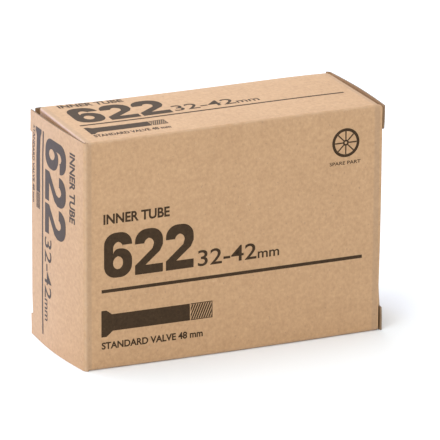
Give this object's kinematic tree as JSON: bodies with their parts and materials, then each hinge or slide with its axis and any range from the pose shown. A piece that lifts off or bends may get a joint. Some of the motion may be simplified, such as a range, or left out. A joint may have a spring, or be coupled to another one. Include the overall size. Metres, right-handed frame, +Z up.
{
  "type": "boxed bicycle inner tube",
  "caption": "Kraft board carton with tuck-in end closures that open, holding a folded bicycle inner tube with its valve, screw cap and rubber band.",
  "frame": {"origin": "under the middle of the whole object, on the surface it stands on", "axes": "+X along the carton to its right end, +Y to its back, +Z up; the front panel faces -Y"},
  "size_m": [0.1244, 0.0472, 0.0892],
  "materials": {
    "kraft_board": "matte",
    "butyl": "matte",
    "moulded_rubber": "matte",
    "brass": "satin",
    "spring_steel": "satin",
    "gasket_rubber": "matte",
    "cap_plastic": "satin",
    "band_rubber": "matte"
  },
  "bodies": {
    "carton": {"front_panel": "kraft_board", "back_panel": "kraft_board", "top_panel": "kraft_board", "bottom_panel": "kraft_board", "glue_tab": "kraft_board"},
    "left_closure": {"left_closure_panel": "kraft_board"},
    "left_lip": {"left_tuck_lip": "kraft_board"},
    "left_top_flap": {"left_top_dust_flap": "kraft_board"},
    "left_bottom_flap": {"left_bottom_dust_flap": "kraft_board"},
    "right_closure": {"right_closure_panel": "kraft_board"},
    "right_lip": {"right_tuck_lip": "kraft_board"},
    "right_top_flap": {"right_top_dust_flap": "kraft_board"},
    "right_bottom_flap": {"right_bottom_dust_flap": "kraft_board"},
    "tube_bundle": {"inner_tube": "butyl", "valve_base_patch": "moulded_rubber", "valve_stem_cover": "moulded_rubber", "valve_stem_insert": "brass", "core_plug": "brass", "core_barrel": "brass", "core_gasket": "gasket_rubber", "valve_spring": "spring_steel", "rubber_band": "band_rubber"},
    "valve_pin": {"valve_pin": "brass", "core_seat_washer": "gasket_rubber"},
    "cap_seal": {"cap_seal": "gasket_rubber"},
    "valve_cap": {"valve_cap": "cap_plastic"}
  },
  "joints": [
    {"name": "left_closure_hinge", "type": "hinge", "parent": "carton", "child": "left_closure", "pos_m": [-0.0594, -0.02365, 0], "axis": [0, 0, 1], "range_deg": [0, 150]},
    {"name": "left_lip_crease", "type": "hinge", "parent": "left_closure", "child": "left_lip", "pos_m": [-0.06209, 0.02177, 0], "axis": [0, 0, 1], "range_deg": [0, 30]},
    {"name": "left_top_flap_crease", "type": "hinge", "parent": "carton", "child": "left_top_flap", "pos_m": [-0.0585, 0, 0.0892], "axis": [0, 1, 0], "range_deg": [0, 85]},
    {"name": "left_bottom_flap_crease", "type": "hinge", "parent": "carton", "child": "left_bottom_flap", "pos_m": [-0.0585, 0, 0], "axis": [0, -1, 0], "range_deg": [0, 85]},
    {"name": "right_closure_hinge", "type": "hinge", "parent": "carton", "child": "right_closure", "pos_m": [0.0606, 0.02365, 0], "axis": [0, 0, 1], "range_deg": [0, 150]},
    {"name": "right_lip_crease", "type": "hinge", "parent": "right_closure", "child": "right_lip", "pos_m": [0.06214, -0.02182, 0], "axis": [0, 0, 1], "range_deg": [0, 30]},
    {"name": "right_top_flap_crease", "type": "hinge", "parent": "carton", "child": "right_top_flap", "pos_m": [0.0597, 0, 0.0892], "axis": [0, -1, 0], "range_deg": [0, 85]},
    {"name": "right_bottom_flap_crease", "type": "hinge", "parent": "carton", "child": "right_bottom_flap", "pos_m": [0.0597, 0, 0], "axis": [0, 1, 0], "range_deg": [0, 85]},
    {"name": "tube_play", "type": "slide", "parent": "carton", "child": "tube_bundle", "axis": [1, 0, 0], "range_m": [-0.003, 0.003]},
    {"name": "pin_press", "type": "slide", "parent": "tube_bundle", "child": "valve_pin", "axis": [-1, 0, 0], "range_m": [0, 0.0012], "stiffness_N_per_m": 300, "deforming": ["valve_spring"]},
    {"name": "cap_travel", "type": "slide", "parent": "tube_bundle", "child": "cap_seal", "axis": [1, 0, 0], "range_m": [0, 0.0056]},
    {"name": "cap_turn", "type": "hinge", "parent": "cap_seal", "child": "valve_cap", "pos_m": [0.0369, 0, 0.0815], "axis": [1, 0, 0], "range_deg": [0, 2520]}
  ],
  "couplings": [
    {"joint": "left_lip_crease", "follows": "left_closure_hinge", "ratio": 0.2},
    {"joint": "left_top_flap_crease", "follows": "left_closure_hinge", "ratio": 0.5666},
    {"joint": "left_bottom_flap_crease", "follows": "left_closure_hinge", "ratio": 0.5666},
    {"joint": "right_lip_crease", "follows": "right_closure_hinge", "ratio": 0.2},
    {"joint": "right_top_flap_crease", "follows": "right_closure_hinge", "ratio": 0.5666},
    {"joint": "right_bottom_flap_crease", "follows": "right_closure_hinge", "ratio": 0.5666},
    {"joint": "cap_turn", "follows": "cap_travel", "rad_per_m": 7853.9}
  ]
}
